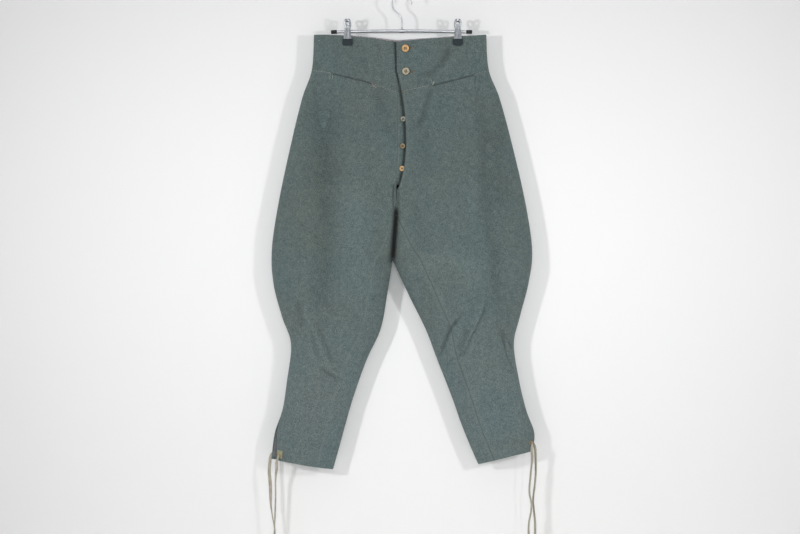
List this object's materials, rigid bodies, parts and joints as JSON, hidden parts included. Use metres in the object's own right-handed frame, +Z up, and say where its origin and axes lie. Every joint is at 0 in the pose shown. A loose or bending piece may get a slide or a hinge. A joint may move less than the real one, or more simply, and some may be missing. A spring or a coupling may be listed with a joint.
{
  "type": "breeches on a clip hanger",
  "caption": "High-waisted wool riding breeches with a deep shaped waistband, button fly, wide thighs and laced ankle vents, hung by the waist from a wire clip hanger.",
  "frame": {"origin": "inside top of the hanger's hook, where a rail carries it", "axes": "+Z up, -Y to the front of the garment, +X to the wearer's left"},
  "size_m": [0.6308, 0.0777, 1.3286],
  "materials": {
    "wool": "milled grey-green melange wool, short nap",
    "horn_button": "polished horn-like button",
    "nut_button": "worn satin nut button",
    "eyelet_brass": "dulled brass",
    "lace_tape": "woven cotton tape",
    "hanger_chrome": "bright plated steel",
    "cap_black": "glossy black cap",
    "pad_rubber": "dull slate rubber"
  },
  "bodies": {
    "root": {"front_hip_left": "wool", "front_knee_left": "wool", "front_shin_left": "wool", "back_hip_left": "wool", "back_knee_left": "wool", "back_shin_left": "wool", "waistband_front_left": "wool", "front_hip_right": "wool", "front_knee_right": "wool", "front_shin_right": "wool", "back_hip_right": "wool", "back_knee_right": "wool", "back_shin_right": "wool", "waistband_front_right": "wool", "waistband_back": "wool", "fly_button_stand": "wool", "pocket_facing_right": "wool", "pocket_facing_left": "wool", "waist_button_upper": "horn_button", "waist_button_lower": "horn_button", "fly_button_upper": "nut_button", "fly_button_middle": "nut_button", "fly_button_lower": "nut_button", "eyelet_right_front": "eyelet_brass", "lace_right_front": "lace_tape", "eyelet_right_back": "eyelet_brass", "lace_right_back": "lace_tape", "eyelet_left_front": "eyelet_brass", "lace_left_front": "lace_tape", "eyelet_left_back": "eyelet_brass", "lace_left_back": "lace_tape", "hanger_hook": "hanger_chrome", "hanger_collar": "hanger_chrome", "hanger_rod": "hanger_chrome", "hanger_cap_right": "cap_black", "hanger_cap_left": "cap_black", "clip_right_spring": "hanger_chrome", "clip_right_plate_front": "hanger_chrome", "clip_right_pad_front": "pad_rubber", "clip_right_plate_back": "hanger_chrome", "clip_right_pad_back": "pad_rubber", "clip_left_spring": "hanger_chrome", "clip_left_plate_front": "hanger_chrome", "clip_left_pad_front": "pad_rubber", "clip_left_plate_back": "hanger_chrome", "clip_left_pad_back": "pad_rubber"}
  },
  "joints": []
}
